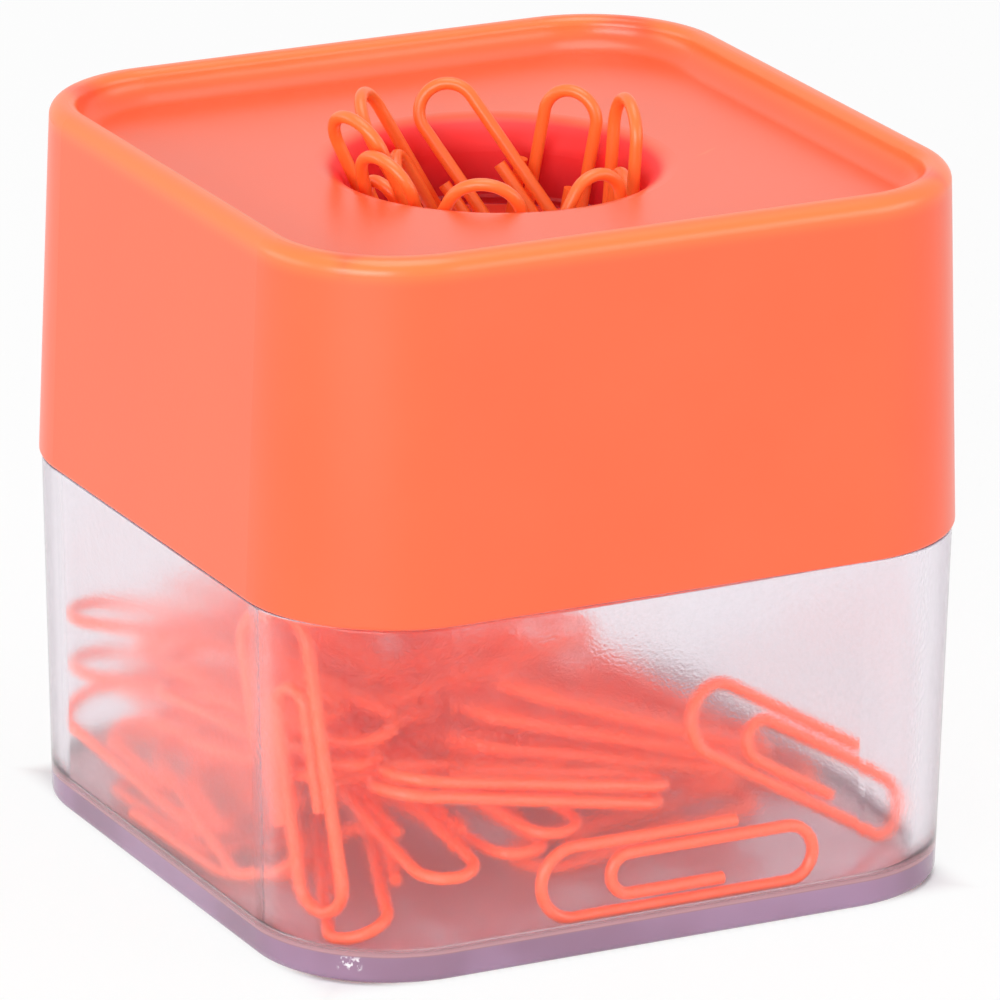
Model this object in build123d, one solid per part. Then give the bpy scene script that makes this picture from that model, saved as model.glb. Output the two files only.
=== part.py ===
from build123d import *

import math
import os

import numpy as np

# Magnetic paper clip holder: a frosted cup with an orange lid, a magnet round the throat, and its clips.
# Millimetres and degrees. The holder stands on z = 0 with its middle over the origin, front toward -Y.

# Outline of the body
body_width = 69.0
parting_height = 33.2
lid_height = 33.2
corner_radius = 14.0
lid_draft = 1.9
base_draft = 1.4

# Base cup
base_setback = 0.25
base_wall = 2.2
floor_thickness = 2.45
floor_fillet = 0.6
foot_fillet = 0.8
mouth_fillet = 0.25
spigot_height = 4.5

# Lid
lid_wall = 1.4
lid_fit = 0.25
lid_edge_fillet = 0.4
lid_inside_fillet = 1.0
top_plate = 2.0
rim_width = 2.5
rim_outer_round = 1.4
rim_inner_round = 0.8
dish_depth = 2.9
dish_fillet = 2.2

# Throat
throat_radius = 13.4
lip_radius = 3.0
throat_depth = 7.5
throat_wall = 1.5
throat_end_chamfer = 0.5

# Magnet and what holds it
magnet_width = 6.4
magnet_thickness = 5.0
magnet_fit = 0.15
magnet_chamfer = 0.4
pocket_wall = 1.3
pocket_depth = 3.6
retainer_plate = 1.6
retainer_skirt = 1.3
retainer_reach = 2.6
retainer_round = 0.4

# Paper clips
clip_length = 28.4
clip_width = 7.75
wire_diameter = 1.15
leg_gap = 0.25
inner_loop_setback = 7.5
inner_end_reach = 18.7
outer_end_reach = 20.0
held_gap = 0.3
loose_gap = 0.1
place_steps = 60
place_tolerance = 0.001

# Heap of clips behind those at the front
heap_count = 26
heap_tries = 600
heap_seed = 5
heap_tilt = 5.0
heap_height = 17.5
heap_slope_across = 0.70
heap_slope_along = 0.30
heap_front = 20.0
heap_left = 4.0
heap_left_front = 26.0
heap_cell = 0.3

# Levels
total_height = parting_height + lid_height
dish_level = total_height - dish_depth
plate_under = dish_level - top_plate
lip_level = dish_level - lip_radius
tube_end = dish_level - throat_depth
magnet_under = plate_under - magnet_thickness

# Widths at the parting line
lid_inner_width = body_width - 2 * lid_wall
base_width = body_width - 2 * base_setback
cavity_width = base_width - 2 * base_wall
spigot_width = lid_inner_width - 2 * lid_fit
lid_inner_corner = corner_radius - lid_wall
base_corner = corner_radius - base_setback
cavity_corner = base_corner - base_wall
spigot_corner = lid_inner_corner - lid_fit

# Throat and magnet radii
lip_start = throat_radius + lip_radius
tube_outer = throat_radius + throat_wall
magnet_inner = tube_outer + magnet_fit
magnet_outer = magnet_inner + magnet_width
pocket_inner = magnet_outer + magnet_fit
pocket_outer = pocket_inner + pocket_wall
skirt_inner = pocket_outer + magnet_fit
skirt_outer = skirt_inner + retainer_skirt

# Clip wire
wire_radius = wire_diameter / 2
big_loop = (clip_width - wire_diameter) / 2
leg_step = wire_diameter + leg_gap
end_loop = big_loop - leg_step / 2
inner_loop = end_loop - leg_step / 2
clip_middle = clip_length / 2
line_step = 0.3 * wire_diameter

# Room for loose clips at the floor of the cup
cavity_shrink = (parting_height - floor_thickness) * math.tan(math.radians(base_draft))
loose_room = cavity_width / 2 - cavity_shrink - wire_radius - loose_gap
loose_corner = cavity_corner - cavity_shrink - wire_radius - loose_gap

# Held clips: bearing round the throat, distance in from its lip, top above the dish, outward lean, sideways swing,
# twist, big loop up
held_rows = [
    (165, 0.1, 5.8, 24, 6, 26, True),
    (102, 0.0, 5.1, 7, 29, -138, True),
    (54, 1.5, 4.6, 6, 37, 7, False),
    (41, 0.3, 4.5, -1, -10, -3, False),
    (339, 0.1, 6.1, 3, 0, -169, True),
    (177, 0.3, 3.4, 18, 20, 17, True),
    (212, 0.0, 2.5, 9, 33, -152, True),
    (265, 0.6, 1.4, -3, 29, -166, False),
]

# Loose clips, lowest first: place across and along the cup from wall (-1) to wall (1), then yaw, pitch and roll
loose_rows = [
    # on its edge against the front wall
    (0.17, -1.00, 0, 0, 88),
    # flat on the floor
    (-0.98, 0.22, 92, 0, 0),
    (-0.35, 0.80, 18, 0, 0),
    (0.75, 0.97, -8, 0, 0),
    (0.97, 0.30, 95, 0, 0),
    (0.15, 0.25, 163, 0, 0),
    # tilted at the foot of the near corner
    (-0.97, -0.97, 250, 6, 20),
    # flat, toward the front wall
    (-0.44, -0.84, 276, 0, 0),
    (0.45, -0.52, 16, 0, 0),
    # upright in the near corner
    (-1.00, -0.80, 104, 103, 84),
    # ends toward the front wall
    (-0.66, -0.97, 268, 8, 2),
    (-0.42, -0.84, 286, 8, 2),
    # sheaf sloping down to the right
    (-0.60, -0.92, 1, 11, -5),
    (-0.53, -0.90, 3, 11, -5),
    (0.06, -0.62, 2, 14, -6),
    (0.14, -0.58, 0, 17, -6),
    (0.36, -0.56, -3, 20, -6),
    # leaning at the right of the front wall
    (0.99, -0.84, 5, 31, 76),
    # by the left wall
    (-1.00, 0.70, 276, 8, 24),
    (-0.98, -0.08, 262, 8, 30),
]


def drafted_block(width, corner, height, draft):
    """Rounded square block that narrows upward from z = 0."""
    return extrude(RectangleRounded(width, width, corner), amount=height, taper=draft)


def hanging_block(width, corner, height, draft):
    """Rounded square block that narrows downward from the parting line."""
    return Pos(0, 0, parting_height) * Rot(180, 0, 0) * drafted_block(width, corner, height, draft)


def make_base():
    outer = hanging_block(base_width, base_corner, parting_height, base_draft)
    outer = fillet(outer.edges().group_by(Axis.Z)[0], foot_fillet)
    outer = fillet(outer.edges().group_by(Axis.Z)[-1], mouth_fillet)
    spigot = drafted_block(spigot_width, spigot_corner, spigot_height, lid_draft)
    spigot = fillet(spigot.edges().group_by(Axis.Z)[-1], mouth_fillet)
    cavity = hanging_block(cavity_width, cavity_corner, parting_height - floor_thickness, base_draft)
    cavity = fillet(cavity.edges().group_by(Axis.Z)[0], floor_fillet)
    mouth = extrude(RectangleRounded(cavity_width, cavity_width, cavity_corner), amount=2 * spigot_height)
    return outer + Pos(0, 0, parting_height) * spigot - cavity - Pos(0, 0, parting_height) * mouth


def ring(inner, outer, low, high):
    """Flat ring about the throat's axis."""
    band = Circle(outer) - Circle(inner)
    return Pos(0, 0, low) * extrude(band, amount=high - low)


def throat_cutter():
    """Bore with its rolled lip above and a chamfer below."""
    half = math.sqrt(0.5) * lip_radius
    flare = throat_radius + throat_end_chamfer
    outline = Polyline(
        (lip_start, dish_level),
        (lip_start, dish_level + dish_depth),
        (0, dish_level + dish_depth),
        (0, tube_end - throat_depth),
        (flare, tube_end - throat_depth),
        (flare, tube_end),
        (throat_radius, tube_end + throat_end_chamfer),
        (throat_radius, lip_level),
    )
    roll = ThreePointArc((throat_radius, lip_level), (lip_start - half, lip_level + half), (lip_start, dish_level))
    return revolve(Plane.XZ * make_face(outline + roll), Axis.Z)


def make_lid():
    block = drafted_block(body_width, corner_radius, lid_height, lid_draft)
    block = fillet(block.edges().group_by(Axis.Z)[0], lid_edge_fillet)
    lid_shrink = lid_height * math.tan(math.radians(lid_draft))
    dish_width = body_width - 2 * lid_shrink - 2 * rim_width
    dish_corner = corner_radius - lid_shrink - rim_width
    dish = extrude(RectangleRounded(dish_width, dish_width, dish_corner), amount=2 * dish_depth)
    dish = fillet(dish.edges().group_by(Axis.Z)[0], dish_fillet)
    lid = Pos(0, 0, parting_height) * block - Pos(0, 0, dish_level) * dish
    lid = fillet(lid.faces().sort_by(Axis.Z)[-1].outer_wire().edges(), rim_outer_round)
    lid = fillet(lid.faces().sort_by(Axis.Z)[-1].inner_wires()[0].edges(), rim_inner_round)
    inside = drafted_block(lid_inner_width, lid_inner_corner, plate_under - parting_height, lid_draft)
    inside = fillet(inside.edges().group_by(Axis.Z)[-1], lid_inside_fillet)
    lid = lid - Pos(0, 0, parting_height) * inside
    lid = lid + ring(throat_radius / 2, tube_outer, tube_end, plate_under + top_plate / 2)
    lid = lid + ring(pocket_inner, pocket_outer, plate_under - pocket_depth, plate_under + top_plate / 2)
    return lid - throat_cutter()


def make_magnet():
    magnet = ring(magnet_inner, magnet_outer, magnet_under, plate_under)
    return chamfer(magnet.edges(), magnet_chamfer)


def make_retainer():
    plate = ring(magnet_inner, skirt_outer, magnet_under - retainer_plate, magnet_under)
    skirt = ring(skirt_inner, skirt_outer, magnet_under - retainer_plate, magnet_under + retainer_reach)
    retainer = plate + skirt
    return fillet(retainer.edges().group_by(Axis.Z)[0], retainer_round)


def clip_runs():
    """Straight runs and bends of a clip drawn flat, big loop at -X, from the outer end to the inner end."""
    top = big_loop
    low = -big_loop
    upper = low + 2 * end_loop
    lower = upper - 2 * inner_loop
    big_x = wire_radius + big_loop - clip_middle
    end_x = clip_middle - wire_radius - end_loop
    inner_x = inner_loop_setback + inner_loop - clip_middle
    return [
        ((outer_end_reach - clip_middle, top), (big_x, top)),
        ((big_x, 0), big_loop, 90),
        ((big_x, low), (end_x, low)),
        ((end_x, low + end_loop), end_loop, -90),
        ((end_x, upper), (inner_x, upper)),
        ((inner_x, upper - inner_loop), inner_loop, 90),
        ((inner_x, lower), (inner_end_reach - clip_middle, lower)),
    ]


def make_clip():
    wire = Curve()
    for run in clip_runs():
        if len(run) == 2:
            wire += Line(run[0], run[1])
        else:
            wire += CenterArc(run[0], run[1], run[2], 180)
    start = clip_runs()[0][0]
    section = Plane(origin=(start[0], start[1], 0), z_dir=(-1, 0, 0)) * Circle(wire_radius)
    return sweep(section, path=wire)


def clip_line(step=line_step):
    """Points along the middle of a clip's wire, drawn flat."""
    points = []
    for run in clip_runs():
        if len(run) == 2:
            count = int(math.dist(run[0], run[1]) / step) + 2
            points.append(np.linspace(run[0], run[1], count))
        else:
            count = int(run[1] * math.pi / step) + 2
            turn = np.radians(np.linspace(run[2], run[2] + 180, count))
            points.append(np.array(run[0]) + run[1] * np.column_stack([np.cos(turn), np.sin(turn)]))
    flat = np.vstack(points)
    return np.column_stack([flat, np.zeros(len(flat))])


def pose_axes(yaw, pitch, roll):
    """Directions of a clip's length, width and normal, as the columns of a matrix."""
    a, b, c = np.radians([yaw, pitch, roll])
    about_z = np.array([[math.cos(a), -math.sin(a), 0], [math.sin(a), math.cos(a), 0], [0, 0, 1]])
    about_y = np.array([[math.cos(b), 0, math.sin(b)], [0, 1, 0], [-math.sin(b), 0, math.cos(b)]])
    about_x = np.array([[1, 0, 0], [0, math.cos(c), -math.sin(c)], [0, math.sin(c), math.cos(c)]])
    return about_z @ about_y @ about_x


def place_inside(points, across, along):
    """Shift that puts a clip between the walls of the cup, clear of the rounded corners."""
    low = -loose_room - points[:, :2].min(axis=0)
    high = loose_room - points[:, :2].max(axis=0)
    move = (low + high) / 2 + np.array([across, along]) * (high - low) / 2
    for _ in range(place_steps):
        spot = points[:, :2] + move
        past = np.maximum(np.abs(spot) - (loose_room - loose_corner), 0)
        over = np.hypot(past[:, 0], past[:, 1]) - loose_corner
        worst = np.argmax(over)
        if over[worst] <= place_tolerance:
            break
        outward = np.sign(spot[worst]) * past[worst] / np.hypot(*past[worst])
        move = move - outward * over[worst]
    return move


def rest_height(points, lying):
    """Lift at which a clip lowered from above rests on the floor or on the clips already there."""
    reach = wire_diameter + loose_gap
    rest = floor_thickness + wire_radius + loose_gap - points[:, 2].min()
    for other in lying:
        apart = np.hypot(points[:, None, 0] - other[:, 0], points[:, None, 1] - other[:, 1])
        near = apart < reach
        if near.any():
            lift = other[:, 2] + np.sqrt(np.maximum(reach**2 - apart**2, 0)) - points[:, None, 2]
            rest = max(rest, lift[near].max())
    return rest


class HeapTop:
    """Height at which a wire would rest on the clips laid so far, on a square grid."""

    def __init__(self):
        cells = 2 * int(loose_room / heap_cell) + 1
        near = np.arange(-int(wire_diameter / heap_cell) - 1, int(wire_diameter / heap_cell) + 2)
        across, along = np.meshgrid(near, near, indexing="ij")
        reach = wire_diameter + loose_gap
        dome = reach**2 - heap_cell**2 * (across**2 + along**2)
        self.level = np.full((cells, cells), floor_thickness + wire_radius + loose_gap)
        self.near = np.column_stack([across[dome > 0], along[dome > 0]])
        self.dome = np.sqrt(dome[dome > 0])

    def cells(self, spots):
        last = len(self.level) - 1
        return np.clip(np.rint(spots / heap_cell).astype(int) + last // 2, 0, last)

    def add(self, points):
        spots = self.cells(points[:, None, :2] + self.near * heap_cell)
        np.maximum.at(self.level, (spots[..., 0], spots[..., 1]), points[:, 2:] + self.dome)

    def rest(self, points):
        spots = self.cells(points[:, :2])
        return (self.level[spots[:, 0], spots[:, 1]] - points[:, 2]).max()


def lowest_row(chance, heap_top):
    """Row of a clip in the lowest of the places that it tries, with the heap higher toward the left and the front."""
    best = None
    for _ in range(heap_tries):
        across, along = chance.uniform(-1, 1, 2)
        yaw = chance.uniform(0, 360)
        pitch, roll = chance.normal(0, heap_tilt, 2)
        points = clip_line(2 * line_step) @ pose_axes(yaw, pitch, roll).T
        move = place_inside(points, across, along)
        points[:, :2] += move
        front = np.where(points[:, 0] < -heap_left, heap_left_front, heap_front)
        if (points[:, 1] < -front).any():
            continue
        lift = heap_top.rest(points)
        over = max(points[:, 2].max() + lift + wire_radius - floor_thickness - heap_height, 0)
        height = lift + move @ (heap_slope_across, heap_slope_along)
        if best is None or (over, height) < best[0]:
            best = (over, height), (across, along, yaw, pitch, roll)
    return best[1]


def loose_poses():
    chance = np.random.default_rng(heap_seed)
    heap_top = HeapTop()
    lying = []
    poses = []
    for number in range(len(loose_rows) + heap_count):
        row = loose_rows[number] if number < len(loose_rows) else lowest_row(chance, heap_top)
        across, along, yaw, pitch, roll = row
        axes = pose_axes(yaw, pitch, roll)
        points = clip_line() @ axes.T
        shift = np.append(place_inside(points, across, along), 0)
        shift[2] = rest_height(points + shift, lying)
        lying.append(points + shift)
        heap_top.add(points + shift)
        poses.append((shift, axes))
    return poses


def throat_room(points):
    """Distance from each point to the wall and lip of the throat."""
    r = np.hypot(points[:, 0], points[:, 1])
    z = points[:, 2]
    lip = np.hypot(np.minimum(r - lip_start, 0), z - lip_level) - lip_radius
    above = np.where(r >= lip_start, z - dish_level, lip)
    below = np.hypot(np.maximum(throat_radius - r, 0), tube_end - z)
    return np.where(z >= lip_level, above, np.where(z >= tube_end, throat_radius - r, below))


def held_pose(bearing, inset, top, lean, swing, twist, big_loop_up):
    """Pose of a clip in the throat, just clear of the lip or further in."""
    b, n, t, s = np.radians([bearing, lean, twist, swing])
    outward = np.array([math.cos(b), math.sin(b), 0])
    around = np.array([-math.sin(b), math.cos(b), 0])
    upward = np.array([0, 0, 1])
    rise = math.sin(n) * outward + math.cos(n) * (math.cos(s) * upward + math.sin(s) * around)
    flat = around - rise * (around @ rise)
    flat = flat / np.linalg.norm(flat)
    width = math.cos(t) * flat + math.sin(t) * np.cross(rise, flat)
    length = -rise if big_loop_up else rise
    axes = np.column_stack([length, width, np.cross(length, width)])
    points = clip_line() @ axes.T
    lift = upward * (dish_level + top - wire_radius - points[:, 2].max())
    near = -lip_start
    far = 2 * lip_start
    for _ in range(place_steps):
        middle = (near + far) / 2
        if throat_room(points + lift + outward * middle).min() >= wire_radius + held_gap:
            near = middle
        else:
            far = middle
    return lift + outward * (near - inset), axes


def set_clip(form, pose):
    shift, axes = pose
    place = Plane(origin=tuple(shift), x_dir=tuple(axes[:, 0]), z_dir=tuple(axes[:, 2]))
    return place.location * form


parts = {
    "base_cup": make_base(),
    "lid_shell": make_lid(),
    "magnet_ring": make_magnet(),
    "magnet_retainer": make_retainer(),
}
clip_form = make_clip()
for number, row in enumerate(held_rows, 1):
    parts[f"held_clip_{number}"] = set_clip(clip_form, held_pose(*row))
for number, pose in enumerate(loose_poses(), 1):
    parts[f"loose_clip_{number:02d}"] = set_clip(clip_form, pose)

os.makedirs("parts", exist_ok=True)
for name, part in parts.items():
    export_step(part, f"parts/{name}.step")
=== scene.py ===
import math

import bpy
from mathutils import Matrix, Vector


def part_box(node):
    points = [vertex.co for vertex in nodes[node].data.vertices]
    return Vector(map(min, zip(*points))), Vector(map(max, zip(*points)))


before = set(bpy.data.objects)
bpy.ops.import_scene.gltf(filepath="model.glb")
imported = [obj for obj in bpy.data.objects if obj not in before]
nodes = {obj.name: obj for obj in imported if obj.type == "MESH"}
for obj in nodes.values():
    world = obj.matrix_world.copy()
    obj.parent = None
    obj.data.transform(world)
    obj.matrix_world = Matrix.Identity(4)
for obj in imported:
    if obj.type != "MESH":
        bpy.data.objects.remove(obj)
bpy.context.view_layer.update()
scene = bpy.context.scene
MM = 0.001

# Levels of the holder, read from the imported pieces
rim_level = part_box("lid_shell")[1].z
floor_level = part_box("loose_clip_02")[0].z

# Camera fitted to the photograph
CAMERA_AZIMUTH = -26.93
CAMERA_ELEVATION = 18.35
CAMERA_ROLL = 0.56
CAMERA_DISTANCE = 0.8673
CAMERA_LENS = 344.3
CAMERA_SHIFT = (0.0074, -0.0178)

# Rim, dish and throat of the lid, where the painted glow on the rim and the painted shade in the throat
# each fade from none to full
RIM_DEPTHS = (2.6 * MM, 0.4 * MM)
RIM_REACH = (28.5 * MM, 30.5 * MM)
DISH_DEPTH = 2.9 * MM
LIP_DROP = 0.7 * MM
LIP_RADIUS = (17.5 * MM, 15.2 * MM)
# How far below the lip the painted shade turns crimson
CRIMSON_DROP = 7.0 * MM
dish_level = rim_level - DISH_DEPTH
throat_level = dish_level - LIP_DROP

# Scratch in the dish, where the photograph shows it
SCRATCH = (18.6 * MM, -5.1 * MM)
SCRATCH_ANGLE = 32.0
SCRATCH_WANDER = 0.3 * MM
SCRATCH_HALF_WIDTH = (0.25 * MM, 0.05 * MM)
SCRATCH_HALF_LENGTH = (2.2 * MM, 0.8 * MM)
SCRATCH_DEPTHS = (0.3 * MM, 0.1 * MM)
SCRATCH_SHOWS = 0.35

# Outer wall of the cup, by distance from the middle of its rounded corners
CORNER_MIDDLE = 20.5 * MM
OUTER_WALL = (12.2 * MM, 12.5 * MM)

# Heights over the cup's floor at which each finish starts and is full
FROST_HEIGHTS = (-0.3 * MM, 0.1 * MM)
ROSE_HEIGHTS = (-0.05 * MM, 0.15 * MM)
PALE_HEIGHTS = (0.6 * MM, 2.0 * MM)
BAND_HEIGHTS = (0.15 * MM, -0.05 * MM)
BAND_FADE_HEIGHTS = (1.3 * MM, 0.1 * MM)
# Painted shade and red light from the clips, over the inside of the cup's floor
FLOOR_SHADE_HEIGHTS = (0.1 * MM, 0.0)

# How much of each finish covers the clear plastic
BAND_COVER = 0.94
BAND_FADE_COVER = 0.5
# Painted shade over the inside of the cup's floor
FLOOR_SHADE_COVER = 0.26
VEIL_COVER = 0.05
VEIL_GRAIN = (0.42, 0.66)

# Scuff on the cup's foot, where the photograph shows it
SCUFF = (-29.0 * MM, -30.3 * MM, 1.9 * MM)
SCUFF_RADIUS = (1.3 * MM, 0.7 * MM)
SCUFF_HALF_HEIGHT = (0.8 * MM, 0.4 * MM)
SCUFF_SPECK = (0.50, 0.62)

# Colours of the lid
LID_COLOURS = (0.94, 0.110, 0.036, 1), (0.97, 0.128, 0.046, 1)
# Painted light: the thin rim glows a clearer orange, as if lit through
RIM_GLOW_ORANGE = (0.98, 0.19, 0.050, 1)
# Painted shade down the throat: red below the lip, crimson deeper in, with the red of light bounced
# inside it
THROAT_SHADE_RED = (0.93, 0.028, 0.028, 1)
THROAT_SHADE_CRIMSON = (0.55, 0.008, 0.02, 1)
SCRATCH_PALE = (1.0, 0.42, 0.30, 1)

# Colours of the clips and the magnet
HELD_COLOURS = (0.96, 0.150, 0.026, 1), (0.99, 0.190, 0.036, 1)
# Painted shade: the loose clips in the cup get a darker, redder copy of the clip colour
LOOSE_SHADED_COLOURS = (0.96, 0.095, 0.022, 1), (0.99, 0.125, 0.032, 1)
FERRITE_COLOURS = (0.018, 0.018, 0.02, 1), (0.05, 0.05, 0.055, 1)

# Colours of the cup
CLEAR = (0.985, 0.965, 0.98, 1)
LILAC_COLOURS = (0.27, 0.155, 0.235, 1), (0.34, 0.21, 0.325, 1)
LILAC_CLOUD = (0.35, 0.65)
# Rose: inside the cup, the colour of the painted shade and red light from the clips on its floor;
# outside, the fading top of the lilac band
ROSE = (0.76, 0.44, 0.48, 1)
FROST_PALE = (0.80, 0.75, 0.79, 1)
SCUFF_PALE = (0.74, 0.70, 0.74, 1)
TINT = (0.75, 0.62, 0.77, 1)
TINT_DENSITY = 50.0

# Studio
WHITE = (1, 1, 1, 1)
FLOOR_GREY = (0.86, 0.86, 0.86, 1)
FLOOR_WIDTH = 6
FLOOR_DROP = 0.1 * MM
FLOOR_CLEAR_OF_CUP = (30.0 * MM, 33.5 * MM)
FLOOR_GLOW = 0.9
AMBIENT = 0.30

PLASTIC_BEND = 1.49
VINYL_BEND = 1.5
BUMP_DEPTH = 0.1 * MM


class Value:
    """A number, vector or colour that a node gives, with arithmetic that adds Math nodes."""

    def __init__(self, look, socket):
        self.look = look
        self.socket = socket

    def maths(self, operation, *terms):
        return self.look.add("ShaderNodeMath", {"operation": operation}, dict(enumerate(terms)))

    def __add__(self, other):
        return self.maths("ADD", self, other)

    def __sub__(self, other):
        return self.maths("SUBTRACT", self, other)

    def __rsub__(self, other):
        return self.maths("SUBTRACT", other, self)

    def __mul__(self, other):
        return self.maths("MULTIPLY", self, other)

    __radd__ = __add__
    __rmul__ = __mul__

    def size(self):
        return self.maths("ABSOLUTE", self)

    def root(self):
        return self.maths("SQRT", self)

    def larger(self, other):
        return self.maths("MAXIMUM", self, other)

    def ramp(self, start, end):
        """0 at start, 1 at end, eased between."""
        settings = {"interpolation_type": "SMOOTHSTEP"}
        return self.look.add("ShaderNodeMapRange", settings, {0: self, 1: start, 2: end, 3: 0, 4: 1})

    def sibling(self, out):
        """Another output of the same node."""
        return Value(self.look, self.socket.node.outputs[out])


class Look:
    """The nodes of one material, or of the world."""

    def __init__(self, owner):
        self.owner = owner
        owner.use_nodes = True
        self.tree = owner.node_tree
        self.tree.nodes.clear()

    def add(self, kind, settings, sockets, out=0):
        """Add a node, give it its settings, feed its sockets, and return one output."""
        node = self.tree.nodes.new(kind)
        for name, setting in settings.items():
            setattr(node, name, setting)
        for key, value in sockets.items():
            if isinstance(value, Value):
                self.tree.links.new(value.socket, node.inputs[key])
            else:
                node.inputs[key].default_value = value
        return Value(self, node.outputs[out]) if node.outputs else None

    def place(self):
        """Object coordinates as a vector and as x, y and z."""
        spot = self.add("ShaderNodeTexCoord", {}, {}, "Object")
        x = self.add("ShaderNodeSeparateXYZ", {}, {0: spot}, "X")
        return spot, x, x.sibling("Y"), x.sibling("Z")

    def noise(self, spot, scale, detail, roughness=0.5):
        sockets = {"Vector": spot, "Scale": scale, "Detail": detail, "Roughness": roughness}
        return self.add("ShaderNodeTexNoise", {}, sockets)

    def mix(self, factor, first, second):
        return self.add("ShaderNodeMix", {"data_type": "RGBA"}, {0: factor, 6: first, 7: second}, 2)

    def bump(self, height, strength):
        sockets = {"Height": height, "Strength": strength, "Distance": BUMP_DEPTH}
        return self.add("ShaderNodeBump", {}, sockets)

    def principled(self, sockets):
        return self.add("ShaderNodeBsdfPrincipled", {}, sockets)

    def blend(self, factor, first, second):
        return self.add("ShaderNodeMixShader", {}, {0: factor, 1: first, 2: second})

    def white_ray(self):
        """1 for rays that should meet a white background."""
        seen = self.add("ShaderNodeLightPath", {}, {}, "Is Camera Ray")
        glossy = seen.sibling("Is Glossy Ray")
        through = seen.sibling("Is Transmission Ray")
        return seen.larger(glossy).larger(through)

    def finish(self, **sockets):
        """End the material with its surface and, where it has one, its volume."""
        self.add("ShaderNodeOutputMaterial", {}, sockets)
        return self.owner


def new_look(name):
    return Look(bpy.data.materials.new(name))


def distance(x, y):
    return (x * x + y * y).root()


def over_floor(z, heights):
    """0 at the first height over the cup's floor, 1 at the second."""
    start, full = heights
    return z.ramp(floor_level + start, floor_level + full)


def scratch_mask(look, spot, x, y, z):
    """A short, wavering line in the dish."""
    turn = math.radians(SCRATCH_ANGLE)
    from_x = x - SCRATCH[0]
    from_y = y - SCRATCH[1]
    along = from_x * math.cos(turn) + from_y * math.sin(turn)
    across = from_y * math.cos(turn) - from_x * math.sin(turn)
    wander = look.noise(spot, 900.0, 1.0) * SCRATCH_WANDER
    line = (across + wander).size().ramp(*SCRATCH_HALF_WIDTH) * along.size().ramp(*SCRATCH_HALF_LENGTH)
    start, full = SCRATCH_DEPTHS
    return line * z.ramp(dish_level - start, dish_level - full)


def lid_finish():
    """Bright satin plastic, with a painted glow of clearer orange on the thin rim and painted shade, red
    to crimson, down the throat.
    """
    look = new_look("orange_plastic")
    spot, x, y, z = look.place()
    cloud = look.noise(spot, 60.0, 3.0)
    grain = look.noise(spot, 2600.0, 2.0)
    start, full = RIM_DEPTHS
    # Painted light: a clearer orange glow on the thin rim
    rim_glow = z.ramp(rim_level - start, rim_level - full) * x.size().larger(y.size()).ramp(*RIM_REACH)
    # Painted shade: red down the throat and crimson further down; the throat is also rougher
    throat = distance(x, y).ramp(*LIP_RADIUS) * z.ramp(dish_level, throat_level)
    deep_shade = throat * z.ramp(throat_level, throat_level - CRIMSON_DROP)
    scratch = scratch_mask(look, spot, x, y, z)
    colour = look.mix(cloud, *LID_COLOURS)
    colour = look.mix(rim_glow, colour, RIM_GLOW_ORANGE)
    colour = look.mix(throat, colour, THROAT_SHADE_RED)
    colour = look.mix(deep_shade, colour, THROAT_SHADE_CRIMSON)
    colour = look.mix(scratch * SCRATCH_SHOWS, colour, SCRATCH_PALE)
    roughness = cloud * 0.06 + 0.27 + throat * 0.25 + scratch * 0.2
    sockets = {"Base Color": colour, "Roughness": roughness, "IOR": PLASTIC_BEND}
    sockets["Normal"] = look.bump(grain, 0.06)
    return look.finish(Surface=look.principled(sockets))


def wire_finish(name, colours):
    """Vinyl coating drawn over wire."""
    look = new_look(name)
    spot = look.place()[0]
    cloud = look.noise(spot, 240.0, 2.0)
    grain = look.noise(spot, 3000.0, 2.0)
    sockets = {"Base Color": look.mix(cloud, *colours), "Roughness": cloud * 0.1 + 0.3, "IOR": VINYL_BEND}
    sockets["Normal"] = look.bump(grain, 0.05)
    return look.finish(Surface=look.principled(sockets))


def scuff_mask(look, spot, x, y, z):
    """Pale specks where the foot has been knocked."""
    near = distance(x - SCUFF[0], y - SCUFF[1]).ramp(*SCUFF_RADIUS)
    level = (z - SCUFF[2]).size().ramp(*SCUFF_HALF_HEIGHT)
    return near * level * look.noise(spot, 1800.0, 3.0).ramp(*SCUFF_SPECK)


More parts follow.
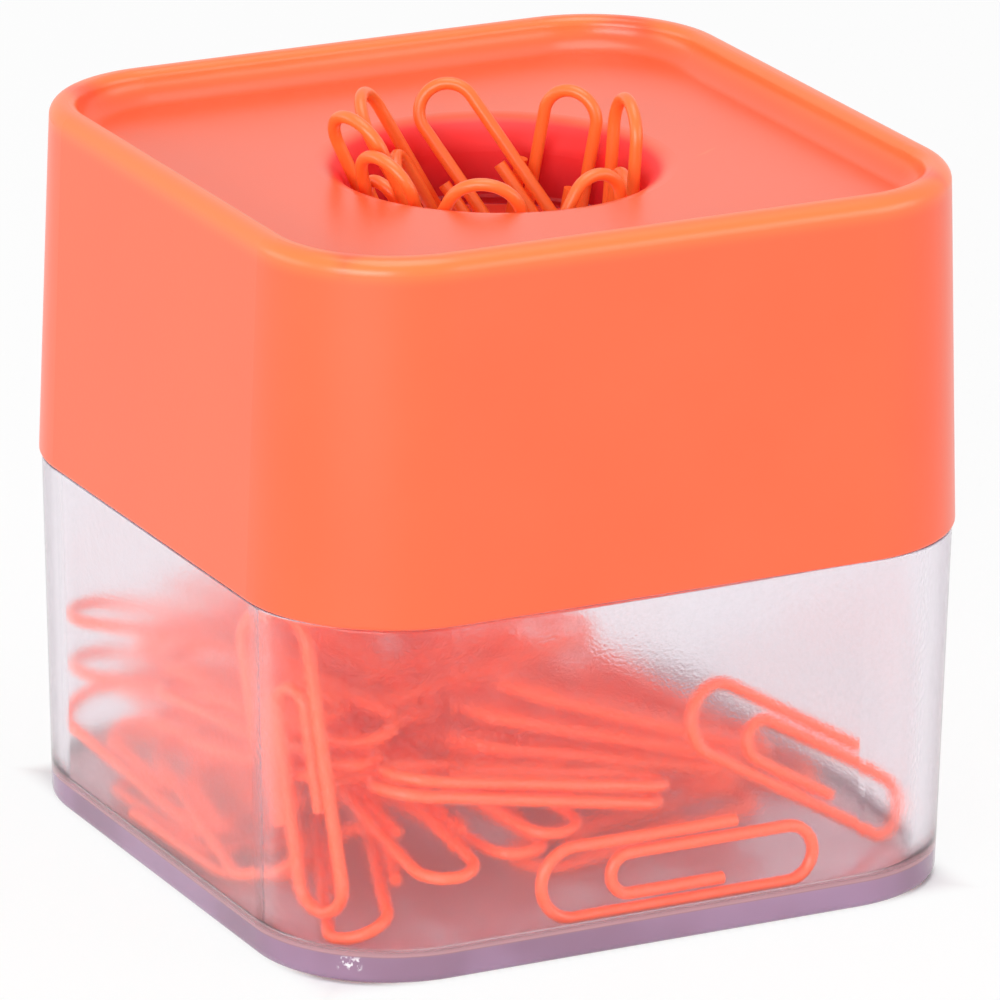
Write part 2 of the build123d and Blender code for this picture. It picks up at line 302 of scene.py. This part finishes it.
def cup_finish():
    """Clear plastic, frosted above the thick floor, whose edge shows lilac."""
    look = new_look("frosted_plastic")
    spot, x, y, z = look.place()
    past_x = (x.size() - CORNER_MIDDLE).larger(0)
    past_y = (y.size() - CORNER_MIDDLE).larger(0)
    outside = distance(past_x, past_y).ramp(*OUTER_WALL)
    inside = 1 - outside
    frost = over_floor(z, FROST_HEIGHTS)
    scuff = scuff_mask(look, spot, x, y, z)
    cloud = look.noise(spot, 70.0, 2.0)
    grain = look.noise(spot, 3200.0, 3.0, 0.6)

    # Clear plastic, blurred where it is frosted
    blur = frost * (outside * 0.05 + 0.06) + 0.04
    sockets = {"Base Color": CLEAR, "Roughness": blur, "IOR": PLASTIC_BEND, "Transmission Weight": 1.0}
    sockets["Normal"] = look.bump(grain * frost, 0.12)
    glass = look.principled(sockets)

    # Solid colours of the foot's edge, of the painted shade on the floor and of the frosted wall
    colour = look.mix(cloud.ramp(*LILAC_CLOUD), *LILAC_COLOURS)
    colour = look.mix(over_floor(z, ROSE_HEIGHTS).larger(inside), colour, ROSE)
    colour = look.mix(outside * over_floor(z, PALE_HEIGHTS), colour, FROST_PALE)
    colour = look.mix(scuff, colour, SCUFF_PALE)
    edge = look.principled({"Base Color": colour, "Roughness": scuff * 0.4 + 0.12, "IOR": PLASTIC_BEND})

    # Where the solid colours cover the clear plastic
    band = over_floor(z, BAND_HEIGHTS) * BAND_COVER
    band = band.larger(over_floor(z, BAND_FADE_HEIGHTS) * BAND_FADE_COVER)
    veil = frost * grain.ramp(*VEIL_GRAIN) * VEIL_COVER
    # Painted shade and red light from the clips, laid over the floor inside the cup
    painted_floor_shade = over_floor(z, FLOOR_SHADE_HEIGHTS) * inside * FLOOR_SHADE_COVER
    cover = (band.larger(veil) * outside).larger(scuff).larger(painted_floor_shade)
    tint = look.add("ShaderNodeVolumeAbsorption", {}, {"Color": TINT, "Density": TINT_DENSITY})
    return look.finish(Surface=look.blend(cover, glass, edge), Volume=tint)


def ferrite_finish():
    """Grey-black sintered magnet."""
    look = new_look("ferrite")
    spot = look.place()[0]
    speck = look.noise(spot, 900.0, 4.0)
    sockets = {"Base Color": look.mix(speck, *FERRITE_COLOURS), "Roughness": speck * 0.3 + 0.45}
    sockets["Normal"] = look.bump(speck, 0.2)
    return look.finish(Surface=look.principled(sockets))


def dress():
    """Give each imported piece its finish."""
    held_wire = wire_finish("held_wire", HELD_COLOURS)
    # The loose clips' copy of the wire colour is darker, painted shade for the pile in the cup
    shaded_loose_wire = wire_finish("shaded_loose_wire", LOOSE_SHADED_COLOURS)
    orange_plastic = lid_finish()
    single = {
        "base_cup": cup_finish(),
        "lid_shell": orange_plastic,
        "magnet_retainer": orange_plastic,
        "magnet_ring": ferrite_finish(),
    }
    for name, piece in nodes.items():
        wire = held_wire if name.startswith("held_clip") else shaded_loose_wire
        piece.data.materials.clear()
        piece.data.materials.append(single.get(name, wire))


def make_floor():
    """A pale floor that keeps the shadow and shows white away from the cup."""
    bpy.ops.object.select_all(action="DESELECT")
    bpy.ops.mesh.primitive_plane_add(size=FLOOR_WIDTH, location=(0, 0, -FLOOR_DROP))
    floor = bpy.context.object
    floor.name = "floor"
    bpy.ops.object.transform_apply(location=True, rotation=True, scale=True)
    look = new_look("pale_floor")
    spot, x, y, z = look.place()
    paint = look.add("ShaderNodeBsdfDiffuse", {}, {"Color": FLOOR_GREY})
    glow = look.add("ShaderNodeEmission", {}, {"Color": WHITE, "Strength": 1.0})
    clear_of_cup = x.size().larger(y.size()).ramp(*FLOOR_CLEAR_OF_CUP)
    shows_white = look.white_ray() * clear_of_cup * FLOOR_GLOW
    floor.data.materials.append(look.finish(Surface=look.blend(shows_white, paint, glow)))


def make_world():
    """A white background over an even, dimmer light."""
    scene.world = bpy.data.worlds.new("studio")
    look = Look(scene.world)
    level = look.white_ray() * (1 - AMBIENT) + AMBIENT
    back = look.add("ShaderNodeBackground", {}, {"Color": WHITE, "Strength": level})
    look.add("ShaderNodeOutputWorld", {}, {"Surface": back})


def add_lamp(name, place, aim, width, height, power):
    """A soft rectangular lamp, turned to its aim."""
    data = bpy.data.lights.new(name, "AREA")
    data.shape = "RECTANGLE"
    data.size = width
    data.size_y = height
    data.energy = power
    lamp = bpy.data.objects.new(name, data)
    scene.collection.objects.link(lamp)
    lamp.location = place
    lamp.rotation_euler = (Vector(aim) - Vector(place)).to_track_quat("-Z", "Y").to_euler()


def make_lamps():
    body = (0, 0, 0.03)
    dish = (0, 0, 0.06)
    add_lamp("key", (-0.85, -0.75, 0.28), body, width=0.9, height=0.5, power=10.0)
    add_lamp("fill", (0.75, -0.80, 0.28), body, width=0.9, height=0.5, power=4.0)
    add_lamp("top", (0, -0.1, 1.1), dish, width=0.8, height=0.8, power=6.5)
    add_lamp("side", (-1.0, 0.45, 0.25), body, width=0.9, height=0.45, power=2.5)


def make_camera():
    """A long lens from the front left, a little above the rim."""
    azimuth, elevation, roll = (math.radians(v) for v in (CAMERA_AZIMUTH, CAMERA_ELEVATION, CAMERA_ROLL))
    back = Vector((math.sin(azimuth) * math.cos(elevation), -math.cos(azimuth) * math.cos(elevation),
                   math.sin(elevation)))
    right = Vector((math.cos(azimuth), math.sin(azimuth), 0))
    up = back.cross(right)
    side = right * math.cos(roll) + up * math.sin(roll)
    top = up * math.cos(roll) - right * math.sin(roll)
    eye = Vector((0, 0, rim_level / 2)) + back * CAMERA_DISTANCE
    data = bpy.data.cameras.new("camera")
    data.lens = CAMERA_LENS
    data.sensor_width = 36.0
    data.shift_x, data.shift_y = CAMERA_SHIFT
    data.clip_start = 0.01
    data.clip_end = 20.0
    camera = bpy.data.objects.new("camera", data)
    scene.collection.objects.link(camera)
    turn = Matrix((side, top, back)).transposed().to_4x4()
    camera.matrix_world = Matrix.Translation(eye) @ turn
    scene.camera = camera


def let_light_through():
    """Let light go on through the walls of the cup, unblurred, and between the clips."""
    scene.cycles.blur_glossy = 0.0
    scene.cycles.max_bounces = 40
    scene.cycles.diffuse_bounces = 10
    scene.cycles.glossy_bounces = 24
    scene.cycles.transmission_bounces = 40


scene.view_settings.view_transform = "Standard"
dress()
make_floor()
make_world()
let_light_through()
make_lamps()
make_camera()
